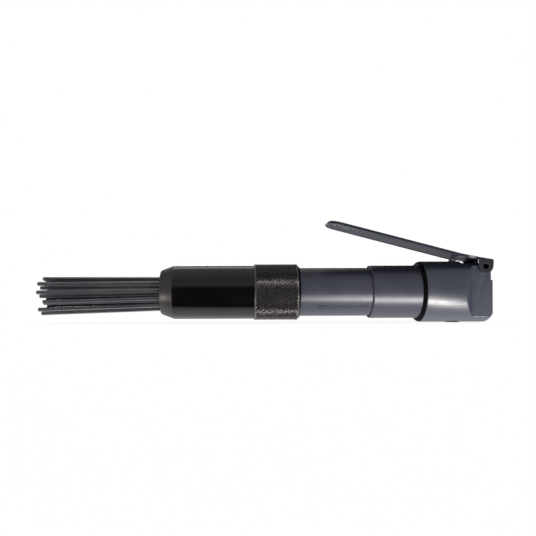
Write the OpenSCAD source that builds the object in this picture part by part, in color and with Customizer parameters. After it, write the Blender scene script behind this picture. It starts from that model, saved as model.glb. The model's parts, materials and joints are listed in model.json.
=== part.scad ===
// Air-driven needle scaler: an in-line hammer with a lever throttle and a bundle of chipping needles.
// The origin is the mouth of the air inlet. +X points out of the inlet, +Z to the lever.
// Stations along the tool are distances forward of the inlet mouth, so they run towards -X.

/* [Head] */
// Wall of the throttle head round the exhaust sleeve
head_wall = 3; // [2.5:0.1:6]
// Length of the throttle head
head_len = 53.5; // [53:0.5:65]
// Round on the head's front edge
head_front_round = 3; // [1:0.5:4]
// Round on the head's rear edge
head_rear_round = 3; // [1:0.5:4]
// Width across the two side flats at the hinge
flat_w = 26; // [24:0.5:32]
// Length of the side flats, up to the foot of their ramp
flat_len = 15.2; // [12:0.2:17]
// Length of the ramp on which a flat runs out to the side of the head
flat_ramp = 8.2; // [5:0.2:10]
// Depth of the cut that clears the lever on top of the head
hinge_cut = 1.8; // [1.2:0.1:3]
// Length of the cut that clears the lever
hinge_len = 21.5; // [20:0.5:22]
// How far the upper rear face is set back
rear_step = 1.3; // [0.5:0.1:2.5]
// Height above the axis at which the rear face steps back
rear_step_z = 8.3; // [7:0.1:12]

/* [Air inlet] */
// Core diameter of the inlet thread
inlet_d = 11.44; // [11.44:0.01:12]
// Depth of the inlet thread
inlet_depth = 13; // [10:0.5:14]
// Diameter of the strainer seat
screen_d = 10; // [8:0.5:11]
// Depth of the strainer seat
screen_depth = 2; // [1.5:0.1:3]
// Wall of the strainer cup
screen_wall = 0.8; // [0.5:0.1:1.2]
// Diameter of the air passages in the head
passage_d = 5.6; // [4:0.2:6]

/* [Throttle valve] */
// Station of the throttle valve
valve_x = 25.5; // [25:0.1:28]
// Diameter of the throttle pin
pin_d = 5.5; // [4:0.1:6]
// How far the throttle pin stands out of the head
pin_proud = 3.3; // [2.8:0.1:3.3]
// Radius of the domed end of the throttle pin
dome_r = 3.5; // [3.2:0.1:5]
// Diameter of the thin neck of the throttle pin
neck_d = 3.6; // [2.6:0.1:3.8]
// Diameter of the valve head on the pin
poppet_d = 9; // [8:0.1:9.6]
// Thickness of the valve head
poppet_len = 3.6; // [2.5:0.1:4.5]
// Diameter of the seat opening
seat_d = 6.4; // [5.4:0.1:7]
// Thickness of the seat web
seat_len = 3; // [2:0.1:4]
// Diameter of the lower valve chamber
chamber_d = 11.4; // [10.8:0.1:12]
// Depth of the lower valve chamber below the seat
chamber_len = 15; // [14:0.5:15]
// Diameter of the upper valve chamber
upper_d = 10; // [8:0.1:11]
// Height of the upper valve chamber
upper_len = 6; // [5:0.1:7]
// Thickness of the rubber ring on the valve head
poppet_seal_len = 1.2; // [0.8:0.1:1.6]
// Diameter of the rubber ring round the throttle pin
pin_seal_w = 1.8; // [1.2:0.1:2]
// Diameter of the valve spring's coil, at the middle of its wire
valve_spring_d = 6.6; // [6:0.1:7.4]
// Wire diameter of the valve spring
valve_wire_d = 0.9; // [0.6:0.05:1]
// Number of turns of the valve spring
valve_turns = 6; // [4:1:6]
// Diameter of the valve plug
plug_d = 13; // [12.6:0.1:15]
// Chamfer on the outer rim of the valve plug
plug_chamfer = 1.5; // [0.5:0.1:2]
// How far the valve plug stands out of the head
plug_proud = 0.3; // [0.1:0.1:1]
// Width across the flats of the plug's hexagon socket
plug_socket = 5; // [4:0.5:6]
// Depth of the plug's hexagon socket
plug_socket_depth = 3.5; // [2:0.5:4]
// Diameter of the rubber ring round the plug
plug_seal_w = 1.4; // [1:0.1:1.6]

/* [Lever] */
// Thickness of the lever's sheet
lever_t = 1.9; // [1.4:0.1:2]
// Length of the lever from its bend to its tip
lever_len = 106; // [90:0.5:120]
// Depth of the lever's folded sides
lever_depth = 3.4; // [3:0.1:4]
// Outer radius of the folds
lever_fold_r = 2.6; // [2.1:0.1:2.9]
// Radius of the corners at the lever's tip, seen from above
lever_tip_r = 8; // [4:0.5:12]
// Length over which the underside rises to the tip
lever_tip_rise = 9; // [5:0.5:12]
// Slope of the lever's grip at rest, in degrees
lever_slope = 14.7; // [14.5:0.1:16]
// Slope of the lever's hinge plate at rest, in degrees
hinge_slope = 9.6; // [9:0.1:10]
// Length of the hinge plate, from the lever's bend to its rear edge
hinge_plate_len = 18.8; // [18:0.1:19]
// Station of the lever's pivot
pivot_x = 5.9; // [5.8:0.1:6.5]
// Depth of the pivot below the top of the head
pivot_drop = 4.6; // [4.4:0.1:5]
// Height of the lever's bend above the top of the head
bend_rise = 3.9; // [3.9:0.1:4.2]
// Diameter of the lever's pivot pin
pivot_d = 4; // [3:0.1:4.5]
// Radius of the lever's ears round the pivot
ear_r = 5.2; // [4.5:0.1:5.3]
// Length of the gap in the folded sides in front of the bend
fold_gap = 3; // [1:0.1:5]
// How far the pivot pin's ends lie inside the ears' outer faces
pivot_recess = 0.5; // [0.2:0.1:1]

/* [Sleeve and barrel] */
// Wall of the exhaust sleeve round its outlet
sleeve_wall = 0.95; // [0.9:0.05:2]
// Length of the sleeve that shows in front of the head
sleeve_len = 36.3; // [30:0.1:45]
// Depth of the sleeve's seat in the head
sleeve_seat = 4; // [3:0.1:6]
// Chamfer on the sleeve's front edge
sleeve_chamfer = 0.7; // [0.3:0.1:0.8]
// Radial gap of the exhaust outlet under the sleeve
exhaust_gap = 0.8; // [0.5:0.05:0.8]
// Diameter of the exhaust ports
port_d = 4; // [2:0.1:5]
// Number of cross drillings that make the exhaust ports
port_drillings = 3; // [1:1:4]
// Length of the barrel that shows between sleeve and collar
barrel_show = 53.1; // [45:0.1:70]
// Wall of the barrel
barrel_wall = 6.25; // [5.5:0.05:7]
// Station of the floor of the head's barrel seat
seat_floor = 36.5; // [36:0.1:37]
// Thickness of the gasket behind the barrel
gasket_t = 1; // [0.5:0.1:1.5]
// Length of the spanner flats on the barrel
spanner_len = 13; // [8:0.5:18]
// Depth of the spanner flats
spanner_depth = 0.4; // [0.2:0.1:0.8]
// Angle of the spanner flats above the tool's side, in degrees
spanner_turn = 40; // [0:1:90]

/* [Valve chest] */
// Wall of the barrel round the valve chest
chest_wall = 4.25; // [3:0.05:4.7]
// Length of the valve chest
chest_len = 12.5; // [12:0.1:14]
// Length of the port plate
port_plate_len = 6.5; // [5:0.1:7]
// Width of the valve chest's rim round the flapper disc
flapper_rim = 5; // [4:0.1:6]
// Thickness of the flapper disc
flapper_t = 1.2; // [0.8:0.1:1.4]
// Lift of the flapper disc
flapper_lift = 0.5; // [0.3:0.1:0.8]
// Diameter of the holes in the port plate and cap
chest_hole_d = 4; // [2:0.1:5]

/* [Hammer] */
// Length of the piston
piston_len = 34; // [25:0.5:40]
// Gap behind the piston at rest
piston_gap = 4; // [2:0.5:8]
// Diameter of the grooves round the piston
piston_groove = 0.8; // [0.4:0.1:1.2]
// Gap round the anvil's face
anvil_side_gap = 0.5; // [0.4:0.05:1]
// Thickness of the anvil's face
anvil_face_len = 8; // [5:0.1:9]
// Wall of the bush round the anvil's shank
bush_wall = 5; // [4:0.1:7]
// How far the anvil's face stands in front of the barrel
anvil_proud = 2.5; // [1:0.1:4]
// How far the shank stands out behind its bush
shank_tail = 2.2; // [1:0.1:6]
// Length of the anvil's bush
bush_len = 16; // [10:0.5:20]

/* [Collar and front tube] */
// Wall of the knurled collar
collar_wall = 3; // [2.5:0.05:5]
// Length of the knurled collar
collar_len = 34; // [30:0.1:40]
// Chamfer on the collar's rear edge
collar_rear_chamfer = 1.8; // [0.5:0.1:2]
// Chamfer on the collar's front edge
collar_front_chamfer = 0.4; // [0.2:0.1:0.5]
// Depth of the knurl's grooves
knurl_depth = 0.5; // [0.2:0.05:0.6]
// Width of the plain land at each end of the knurl
knurl_land = 0.5; // [0.3:0.1:2]
// Peaks of the knurl in one row round the collar
knurl_peaks = 16; // [8:1:24]
// Rows of the knurl along the collar
knurl_rows = 8; // [4:2:12]
// How far the front tube stands out all round over its spigot
tube_step = 2.05; // [1:0.05:2.2]
// Length of the front tube in front of the collar
tube_len = 70.6; // [66:0.1:90]
// Wall of the tube's spigot inside the collar
spigot_wall = 1.25; // [1:0.05:2.5]
// Length of the tube's spigot inside the collar
spigot_len = 24.9; // [20:0.1:25]
// Length of the nose taper
nose_taper_len = 8.9; // [4:0.1:10]
// Wall of the nose at its front
nose_wall = 2.2; // [2:0.1:3]
// Round on the lip of the nose
nose_round = 1; // [0.5:0.1:1.2]
// Ledge in the nose that holds the needle spring
nose_ledge = 2.2; // [1.9:0.1:2.3]
// Length of the nose bore
nose_bore_len = 11.5; // [8:0.1:14]

/* [Needles] */
// Diameter of a needle
needle_d = 3; // [2:0.1:4]
// Length of a needle with its head
needle_len = 180; // [150:1:190]
// How far a needle's head stands out all round
needle_head_step = 0.6; // [0.5:0.05:0.8]
// Length of a needle's head
needle_head_len = 4; // [3:0.1:4.5]
// Chamfer on a needle's tip
needle_tip = 0.4; // [0.1:0.1:0.6]
// Gap between the heads of neighbouring needles
needle_head_gap = 0.9; // [0.7:0.05:1.2]
// Gap between the outer needle heads and the needle holder's skirt
skirt_gap = 1; // [0.8:0.05:1.5]
// Greatest distance by which a needle lies back in its holder
needle_slip = 5; // [3:0.1:6]
// Greatest droop of a needle, in degrees
needle_droop = 2; // [0:0.1:2.1]
// Thickness of the needle holder's plate
plate_len = 9; // [6:0.1:10]
// Wall of the needle holder's skirt
skirt_wall = 3.65; // [3.4:0.05:4.5]
// Gap round a needle in its hole
needle_hole_gap = 0.45; // [0.4:0.05:0.45]
// Gap round the needle spring in the front tube
needle_spring_gap = 0.4; // [0.3:0.05:0.5]
// Wire diameter of the needle spring
needle_wire_d = 1.6; // [1.2:0.1:1.8]
// Number of turns of the needle spring
needle_turns = 8; // [5:1:10]

/* [Hidden] */
$fn = 96;
// Radial clearance of a running fit
run_fit = 0.05;
// Radial clearance of pieces that are screwed or slid together and stay put
slip_fit = 0.05;
// Gap between parts that only just stay clear of each other
seat_gap = 0.3;
// Overrun of every cut beyond the surface it opens
overrun = 1;
// Gap between the anvil's face and the rearmost needle head
anvil_gap = 0.5;
// Gap between the lever's ears and the flats
ear_gap = 0.3;
// Height of the lower air passage below the axis
passage_drop = 4;
// Height of the upper air passage above the axis
passage_rise = 8;
// Diameter of the lower air passage
lower_passage_d = 8;
// Rim left round the plenum behind the valve chest, and the plenum's depth
plenum_rim = 2;
plenum_len = 2.5;
// Height of the seat web's lower face above the axis
seat_z = 2;
// Gap between the closed valve ring and its seat
valve_gap = 0.2;
// Depth of the spring's recess in the valve plug
spring_recess = 2;
// Chamfer on the piston and the anvil's shank
hammer_chamfer = 1;
// Rear land of the sleeve that grips the barrel
sleeve_land = 7.5;
// Station of the exhaust ports behind the sleeve's front edge
port_back = 16;
// Diameter and number of the strainer's holes
screen_hole_d = 1.6;
screen_hole_count = 6;
// Share of the cup's radius at which the strainer's holes lie
screen_hole_share = 0.55;
// Share of the port plate's radius at which its holes lie
chest_hole_share = 0.45;
chest_hole_count = 6;
// Shares of the piston's length at which its grooves lie
piston_groove_shares = [0.2, 0.4, 0.6, 0.8];
// Depth of the lever's edge at its tip, as a share of its folded depth
tip_edge_share = 0.35;
// Rings on each curl and sides on the wire of a spring
curl_rings = 8;
wire_sides = 6;
// Shares of the greatest slip and droop: the middle needle, the inner ring, then the outer ring
needle_slip_shares = [0.3,
    0.5, 0.2, 0.12, 0.18, 0.6, 0.4,
    0.3, 0.7, 0.5, 0.56, 0.04, 0.06, 1, 0.12, 0.28, 0.8, 0.45, 0.15];
needle_droop_shares = [0.25,
    0.2, 0.1, 0.16, 0.47, 0.6, 0.5,
    0.2, 0.05, 0, -0.1, 0.13, 0.44, 0.76, 0.96, 1, 0.85, 0.6, 0.35];
inner_count = 6;
outer_count = 12;
needle_count = 1 + inner_count + outer_count;

// Diameters along the tool, from the needles outwards
needle_head_d = needle_d + 2 * needle_head_step;
needle_hole_d = needle_d + 2 * needle_hole_gap;
inner_ring_r = needle_head_d + needle_head_gap;
outer_ring_r = 2 * inner_ring_r;
skirt_bore_d = 2 * (outer_ring_r + skirt_gap) + needle_head_d;
tube_bore_d = skirt_bore_d + 2 * (skirt_wall + run_fit);
barrel_d = tube_bore_d + 2 * spigot_wall;
tube_d = barrel_d + 2 * tube_step;
collar_d = barrel_d + 2 * collar_wall;
sleeve_d = barrel_d + 2 * (exhaust_gap + sleeve_wall);
head_d = sleeve_d + 2 * head_wall;
bore_d = barrel_d - 2 * barrel_wall;
chest_d = barrel_d - 2 * chest_wall;
plenum_d = chest_d - 2 * plenum_rim;
flapper_d = chest_d - 2 * flapper_rim;
anvil_d = skirt_bore_d - 2 * anvil_side_gap;
shank_d = bore_d - 2 * bush_wall;
nose_bore_d = tube_bore_d - 2 * nose_ledge;
nose_d = nose_bore_d + 2 * nose_wall;
needle_spring_d = tube_bore_d - needle_wire_d - 2 * needle_spring_gap;

// Stations along the tool
head_r = head_d / 2;
flat_half = flat_w / 2;
sleeve_rear = head_len - sleeve_seat;
sleeve_front = head_len + sleeve_len;
collar_rear = sleeve_front + barrel_show;
collar_front = collar_rear + collar_len;
tube_front = collar_front + tube_len;
barrel_front = collar_front - spigot_len;
barrel_rear = seat_floor + gasket_t;
chest_front = barrel_rear + chest_len;
port_plate_front = barrel_rear + port_plate_len;
flapper_room = flapper_t + flapper_lift + seat_gap + seat_gap;
piston_rear = chest_front + piston_gap;
holder_rear = barrel_front + seat_gap;
needle_room = needle_slip + needle_head_len + anvil_gap;
anvil_front = barrel_front + anvil_proud;
plate_rear = anvil_front + needle_room + seat_gap;
plate_front = plate_rear + plate_len;
needle_pivot = plate_rear + plate_len / 2;
needle_base = plate_rear - seat_gap - needle_head_len;
anvil_rear = anvil_front - anvil_face_len;
bush_front = anvil_rear - seat_gap;
bush_rear = bush_front - bush_len;
spring_shoulder = tube_front - nose_bore_len;

// Heights of the throttle valve
pin_top = head_r + pin_proud;
upper_floor = seat_z + seat_len;
upper_top = upper_floor + upper_len;
chamber_floor = seat_z - chamber_len;
poppet_top = seat_z - valve_gap - poppet_seal_len;
poppet_floor = poppet_top - poppet_len;
pin_seal_z = (upper_top + head_r) / 2;
plug_floor = -head_r - plug_proud;
spring_floor = chamber_floor - spring_recess;

// Places of the lever
pivot_z = head_r - pivot_drop;
lever_w = flat_w + 2 * (ear_gap + lever_t);
bend_x = hinge_plate_len * cos(hinge_slope);
bend_z = head_r + bend_rise;
ear_front = pivot_x + ear_r;
ear_rear = pivot_x - ear_r;

function needle_ring_r(i) = i == 0 ? 0 : i <= inner_count ? inner_ring_r : outer_ring_r;
function needle_angle(i) = i == 0 ? 0
    : i <= inner_count ? (i - 1) * 360 / inner_count
    : (i - inner_count - 1 / 2) * 360 / outer_count;
function needle_y(i) = needle_ring_r(i) * cos(needle_angle(i));
function needle_z(i) = needle_ring_r(i) * sin(needle_angle(i));
function needle_name(i) = str("needle_", i < 9 ? "0" : "", i + 1);

// Turns a shape built along +Z so that it runs forward along the tool from a station
module forward(from = 0) {
    translate([-from, 0, 0]) rotate([0, -90, 0]) children();
}

// Solid round bar between two stations
module bar(d, from, to) {
    forward(from) cylinder(d = d, h = to - from);
}

// Round hole between two stations, running past both
module bored(d, from, to) {
    bar(d, from - overrun, to + overrun);
}

// Round column on the throttle valve's axis between two heights
module column(d, from, to) {
    translate([-valve_x, 0, from]) cylinder(d = d, h = to - from);
}

// Rubber ring of round section about the throttle valve's axis
module column_ring(inner_d, wire_d, z) {
    translate([-valve_x, 0, z])
        rotate_extrude() translate([(inner_d + wire_d) / 2, 0]) circle(d = wire_d, $fn = 24);
}

// Half section of a bar with rounded ends, for turning about the axis
module rounded_half(r, len, front_round, rear_round) {
    translate([0, rear_round]) square([r, len - front_round - rear_round]);
    square([r - rear_round, len]);
    translate([r - rear_round, rear_round]) circle(rear_round);
    square([r - front_round, len]);
    translate([r - front_round, len - front_round]) circle(front_round);
}

// Points of a coil spring of round wire: rings of the wire's section along the helix
function coil_ring(r, wire_r, pitch, k) =
    let (a = 360 * k / curl_rings, lead = atan(pitch / (2 * PI * r)))
    [for (s = [0 : wire_sides - 1])
        let (b = 360 * s / wire_sides, out = wire_r * cos(b), up = wire_r * sin(b))
        [(r + out) * cos(a) + up * sin(lead) * sin(a),
         (r + out) * sin(a) - up * sin(lead) * cos(a),
         pitch * k / curl_rings + up * cos(lead)]];
function coil_gap(r, wire_r, pitch) =
    min([for (p = coil_ring(r, wire_r, pitch, 0), q = coil_ring(r, wire_r, pitch, curl_rings)) norm(p - q)]);

// Coil spring along +Z whose wire just fits between 0 and its length
module coil(d, wire_d, turns, len) {
    pitch = (len - wire_d) / turns;
    last = turns * curl_rings;
    points = [for (k = [0 : last]) each coil_ring(d / 2, wire_d / 2, pitch, k)];
    sides = [for (k = [0 : last - 1], s = [0 : wire_sides - 1])
        let (a = k * wire_sides + s, b = k * wire_sides + (s + 1) % wire_sides)
        each [[a, a + wire_sides, b], [b, a + wire_sides, b + wire_sides]]];
    caps = [for (s = [1 : wire_sides - 2])
        each [[0, s, s + 1], [last * wire_sides, last * wire_sides + s + 1, last * wire_sides + s]]];
    echo(least_coil_gap = coil_gap(d / 2, wire_d / 2, pitch));
    translate([0, 0, wire_d / 2]) polyhedron(points, concat(sides, caps));
}

// Flat milled on one side of the head, which runs out on a ramp at the front
module side_flat() {
    depth = head_r - flat_half;
    translate([0, 0, -head_r - overrun]) linear_extrude(head_d + 2 * overrun) polygon([
        [overrun, -flat_half], [-flat_len, -flat_half],
        [-flat_len - 2 * flat_ramp, -flat_half - 2 * depth], [overrun, -flat_half - 2 * depth]]);
}

// Throttle head: carries the air inlet, the throttle valve and the lever's hinge
module head() {
    color([0.2, 0.21, 0.24]) difference() {
        forward() rotate_extrude() rounded_half(head_r, head_len, head_front_round, head_rear_round);
        side_flat();
        mirror([0, 1, 0]) side_flat();
        translate([-hinge_len, -head_d, head_r - hinge_cut])
            cube([hinge_len + overrun, 2 * head_d, hinge_cut + overrun]);
        translate([-rear_step, -head_d, rear_step_z]) cube([rear_step + overrun, 2 * head_d, head_d]);
        bored(inlet_d, 0, inlet_depth - overrun);
        bored(screen_d, inlet_depth, inlet_depth + screen_depth - overrun);
        translate([0, 0, -passage_drop])
            bar(lower_passage_d, inlet_depth + screen_depth - overrun, valve_x);
        translate([0, 0, passage_rise]) bar(passage_d, valve_x, seat_floor);
        bar(plenum_d, seat_floor - plenum_len, seat_floor + overrun);
        bored(barrel_d + 2 * slip_fit, seat_floor + overrun, head_len);
        bored(sleeve_d + 2 * slip_fit, sleeve_rear + overrun, head_len);
        column(pin_d + 2 * run_fit, upper_floor, head_r + overrun);
        column(upper_d, upper_floor, upper_top);
        column(seat_d, seat_z - overrun, upper_floor + overrun);
        column(chamber_d, chamber_floor - overrun, seat_z);
        column(plug_d + 2 * slip_fit, plug_floor - overrun, chamber_floor);
        column(pin_d + 2 * (run_fit + pin_seal_w + slip_fit),
            pin_seal_z - pin_seal_w / 2 - seat_gap, pin_seal_z + pin_seal_w / 2 + seat_gap);
        translate([-pivot_x, head_d, pivot_z]) rotate([90, 0, 0])
            cylinder(d = pivot_d + 2 * slip_fit, h = 2 * head_d);
    }
}

// Exhaust sleeve: seats in the head and leads the spent air out at its front edge
module sleeve() {
    sleeve_r = sleeve_d / 2;
    color([0.2, 0.21, 0.24]) difference() {
        union() {
            bar(sleeve_d, sleeve_rear, sleeve_front - sleeve_chamfer);
            forward(sleeve_front - sleeve_chamfer)
                cylinder(r1 = sleeve_r, r2 = sleeve_r - sleeve_chamfer, h = sleeve_chamfer);
        }
        bored(barrel_d + 2 * slip_fit, sleeve_rear, sleeve_front);
        bored(barrel_d + 2 * exhaust_gap, sleeve_rear + sleeve_land + overrun, sleeve_front);
    }
}

// One spanner flat on the barrel, right behind the collar
module spanner_flat() {
    rotate([spanner_turn, 0, 0])
        translate([-collar_rear, -barrel_d - barrel_d / 2 + spanner_depth, -barrel_d / 2])
            cube([spanner_len, barrel_d, barrel_d]);
}

// Barrel: the cylinder in which the piston flies
module barrel() {
    color([0.2, 0.21, 0.24]) difference() {
        bar(barrel_d, barrel_rear, barrel_front);
        bored(bore_d, barrel_rear, barrel_front);
        bored(chest_d, barrel_rear, chest_front - overrun);
        bored(skirt_bore_d, bush_front + overrun, barrel_front);
        spanner_flat();
        rotate([180, 0, 0]) spanner_flat();
        for (i = [0 : port_drillings - 1]) {
            translate([-(sleeve_front - port_back), 0, 0]) rotate([(i + 1 / 2) * 180 / port_drillings, 0, 0])
                cylinder(d = port_d, h = 2 * barrel_d, center = true);
        }
    }
}

// Knurled band along +Z: peaks and crossings of the grooves take turns, like the fields of a chessboard
module knurl(r, len) {
    columns = 2 * knurl_peaks;
    points = [for (i = [0 : knurl_rows], j = [0 : columns - 1])
        let (low = i == 0 || i == knurl_rows || (i + j) % 2 == 0)
        let (out = low ? r - knurl_depth : r, a = 360 * j / columns)
        [out * cos(a), out * sin(a), len * i / knurl_rows]];
    sides = [for (i = [0 : knurl_rows - 1], j = [0 : columns - 1])
        let (a = i * columns + j, b = i * columns + (j + 1) % columns, c = b + columns, d = a + columns)
        each (i + j) % 2 == 0 ? [[a, c, b], [a, d, c]] : [[a, d, b], [b, d, c]]];
    rear = [for (j = [0 : columns - 1]) j];
    front = [for (j = [columns - 1 : -1 : 0]) knurl_rows * columns + j];
    polyhedron(points, concat(sides, [rear, front]));
}

// Knurled collar: the union nut that draws the front tube against the barrel
module collar() {
    r = collar_d / 2;
    core_r = r - 2 * knurl_depth;
    rear_land = collar_rear_chamfer + knurl_land;
    front_land = collar_len - collar_front_chamfer - knurl_land;
    color([0.14, 0.14, 0.16]) difference() {
        forward(collar_rear) {
            rotate_extrude() polygon([
                [0, 0], [r - collar_rear_chamfer, 0], [r, collar_rear_chamfer], [r, rear_land],
                [core_r, rear_land], [core_r, front_land],
                [r, front_land], [r, collar_len - collar_front_chamfer], [r - collar_front_chamfer, collar_len],
                [0, collar_len]]);
            translate([0, 0, rear_land - knurl_land / 2]) knurl(r, front_land - rear_land + knurl_land);
        }
        bored(barrel_d + 2 * slip_fit, collar_rear, collar_front);
    }
}

// Front tube: guides the needle holder and narrows to the nose
module front_tube() {
    r = tube_d / 2;
    nose_r = nose_d / 2;
    taper_end = tube_front - nose_round;
    color([0.03, 0.03, 0.035]) difference() {
        union() {
            bar(barrel_d, barrel_front, collar_front);
            bar(tube_d, collar_front, taper_end - nose_taper_len);
            forward(taper_end - nose_taper_len) cylinder(r1 = r, r2 = nose_r, h = nose_taper_len);
            bar(nose_d - 2 * nose_round, taper_end, tube_front);
            forward(taper_end) rotate_extrude() intersection() {
                translate([nose_r - nose_round, 0]) circle(nose_round);
                square([nose_r, nose_round]);
            }
        }
        bored(tube_bore_d, barrel_front, spring_shoulder - overrun);
        bored(nose_bore_d, spring_shoulder, tube_front);
    }
}

// Flat gasket between the barrel's rear end and the head
module head_gasket() {
    color([0.35, 0.2, 0.12]) difference() {
        bar(barrel_d, seat_floor, barrel_rear);
        bored(plenum_d, seat_floor, barrel_rear);
    }
}

// Ring of holes through a disc of the valve chest
module chest_holes(from, to) {
    for (i = [0 : chest_hole_count - 1]) {
        rotate([i * 360 / chest_hole_count, 0, 0])
            translate([0, 0, chest_hole_share * chest_d / 2]) bored(chest_hole_d, from, to);
    }
}

// Port plate: rear half of the valve chest
module port_plate() {
    color([0.5, 0.5, 0.52]) difference() {
        bar(chest_d - 2 * slip_fit, barrel_rear, port_plate_front);
        chest_holes(barrel_rear, port_plate_front);
    }
}

// Flapper disc: flutters between the port plate and the cap
module flapper_valve() {
    color([0.6, 0.6, 0.62])
        bar(flapper_d, port_plate_front + seat_gap, port_plate_front + seat_gap + flapper_t);
}

// Valve cap: front half of the valve chest, with the flapper's room
module valve_cap() {
    color([0.5, 0.5, 0.52]) difference() {
        bar(chest_d - 2 * slip_fit, port_plate_front, chest_front);
        bored(flapper_d + 2 * seat_gap, port_plate_front, port_plate_front + flapper_room - overrun);
        bored(chest_hole_d, port_plate_front, chest_front);
    }
}

// Piston: the free hammer
module piston() {
    d = bore_d - 2 * run_fit;
    color([0.55, 0.55, 0.57]) difference() {
        union() {
            bar(d, piston_rear, piston_rear + piston_len - hammer_chamfer);
            forward(piston_rear + piston_len - hammer_chamfer)
                cylinder(d1 = d, d2 = d - 2 * hammer_chamfer, h = hammer_chamfer);
        }
        for (share = piston_groove_shares) {
            forward(piston_rear + share * piston_len)
                rotate_extrude() translate([d / 2, 0]) circle(d = piston_groove, $fn = 24);
        }
    }
}

// Bush that guides the anvil's shank in the barrel
module anvil_bush() {
    color([0.62, 0.5, 0.28]) difference() {
        bar(bore_d - 2 * slip_fit, bush_rear, bush_front);
        bored(shank_d + 2 * run_fit, bush_rear, bush_front);
    }
}

// Anvil: takes the piston's blow on its shank and passes it to the needle heads
module anvil() {
    tail = bush_rear - shank_tail;
    color([0.45, 0.45, 0.47]) {
        bar(anvil_d, anvil_rear, anvil_front);
        bar(shank_d, tail + hammer_chamfer, anvil_rear);
        forward(tail) cylinder(d1 = shank_d - 2 * hammer_chamfer, d2 = shank_d, h = hammer_chamfer);
    }
}

// Needle holder: a drilled plate with a skirt, pushed back by the needle spring
module needle_holder() {
    color([0.4, 0.4, 0.42]) difference() {
        bar(tube_bore_d - 2 * run_fit, holder_rear, plate_front);
        bored(skirt_bore_d, holder_rear, plate_rear - overrun);
        for (i = [0 : needle_count - 1]) {
            translate([0, needle_y(i), needle_z(i)]) bored(needle_hole_d, plate_rear, plate_front);
        }
    }
}

// Needle spring: returns the needle holder
module needle_spring() {
    color([0.5, 0.5, 0.52]) forward(plate_front + seat_gap)
        coil(needle_spring_d, needle_wire_d, needle_turns, spring_shoulder - plate_front - 2 * seat_gap);
}

// One needle: a straight rod with a head, lying back and drooping by its own share
module needle(i) {
    slip = needle_slip * needle_slip_shares[i];
    rod_len = needle_len - needle_head_len - needle_tip;
    color([0.08, 0.08, 0.09]) translate([-needle_pivot, needle_y(i), needle_z(i)])
        rotate([0, -needle_droop * needle_droop_shares[i], 0])
            forward(needle_base - slip - needle_pivot) {
                cylinder(d = needle_head_d, h = needle_head_len);
                translate([0, 0, needle_head_len]) cylinder(d = needle_d, h = rod_len);
                translate([0, 0, needle_head_len + rod_len])
                    cylinder(d1 = needle_d, d2 = needle_d - 2 * needle_tip, h = needle_tip);
            }
}

// Inlet strainer: a cup with a ring of holes
module inlet_screen() {
    color([0.6, 0.55, 0.35]) difference() {
        bar(screen_d - 2 * slip_fit, inlet_depth, inlet_depth + screen_depth);
        bored(screen_d - 2 * screen_wall, inlet_depth, inlet_depth + screen_depth - screen_wall - overrun);
        for (i = [0 : screen_hole_count - 1]) {
            rotate([i * 360 / screen_hole_count, 0, 0])
                translate([0, 0, screen_hole_share * screen_d / 2])
                    bored(screen_hole_d, inlet_depth, inlet_depth + screen_depth);
        }
    }
}

// Throttle pin: domed end, guided stem, thin neck and valve head
module throttle_pin() {
    color([0.75, 0.75, 0.77]) {
        intersection() {
            translate([-valve_x, 0, pin_top - dome_r]) sphere(dome_r);
            column(pin_d, upper_top, pin_top);
        }
        column(pin_d, upper_top + seat_gap, pin_top - dome_r);
        column(neck_d, poppet_top, upper_top + seat_gap);
        column(poppet_d, poppet_floor, poppet_top);
    }
}

// Rubber ring that seals the valve head on its seat
module poppet_seal() {
    color([0.05, 0.05, 0.05]) difference() {
        column(poppet_d, poppet_top, poppet_top + poppet_seal_len);
        column(neck_d + 2 * slip_fit, poppet_top - overrun, poppet_top + poppet_seal_len + overrun);
    }
}

// Rubber ring that seals the throttle pin in its guide
module pin_seal() {
    color([0.05, 0.05, 0.05]) column_ring(pin_d + 2 * run_fit, pin_seal_w, pin_seal_z);
}

// Valve spring: lifts the throttle pin and, through it, the lever
module valve_spring() {
    color([0.6, 0.6, 0.62]) translate([-valve_x, 0, spring_floor + seat_gap])
        coil(valve_spring_d, valve_wire_d, valve_turns, poppet_floor - spring_floor - 2 * seat_gap);
}

// Valve plug: closes the throttle valve's bore from below
module valve_plug() {
    socket_d = plug_socket / cos(30);
    groove_z = chamber_floor - seat_gap - spring_recess - plug_seal_w / 2;
    color([0.16, 0.16, 0.18]) difference() {
        union() {
            column(plug_d, plug_floor + plug_chamfer, chamber_floor - seat_gap);
            translate([-valve_x, 0, plug_floor])
                cylinder(d1 = plug_d - 2 * plug_chamfer, d2 = plug_d, h = plug_chamfer);
        }
        column(valve_spring_d + 2 * valve_wire_d, spring_floor, chamber_floor);
        translate([-valve_x, 0, plug_floor - overrun])
            cylinder(d = socket_d, h = plug_socket_depth + overrun, $fn = 6);
        difference() {
            column(plug_d + overrun,
                groove_z - plug_seal_w / 2 - slip_fit, groove_z + plug_seal_w / 2 + slip_fit);
            column(plug_d - 2 * (plug_seal_w + slip_fit), groove_z - plug_d, groove_z + plug_d);
        }
    }
}

// Rubber ring in the valve plug's groove
module plug_seal() {
    groove_z = chamber_floor - seat_gap - spring_recess - plug_seal_w / 2;
    color([0.05, 0.05, 0.05]) column_ring(plug_d - 2 * plug_seal_w, plug_seal_w, groove_z);
}

// Section of the lever across its length: flat top, round folds, sides open below
module lever_section(w, top, depth, fold_r) {
    translate([-depth, -w / 2]) square([depth + top - fold_r, w]);
    translate([-depth, -w / 2 + fold_r]) square([depth + top, w - 2 * fold_r]);
    for (side = [-1, 1]) translate([top - fold_r, side * (w / 2 - fold_r)]) circle(fold_r, $fn = 48);
}

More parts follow.
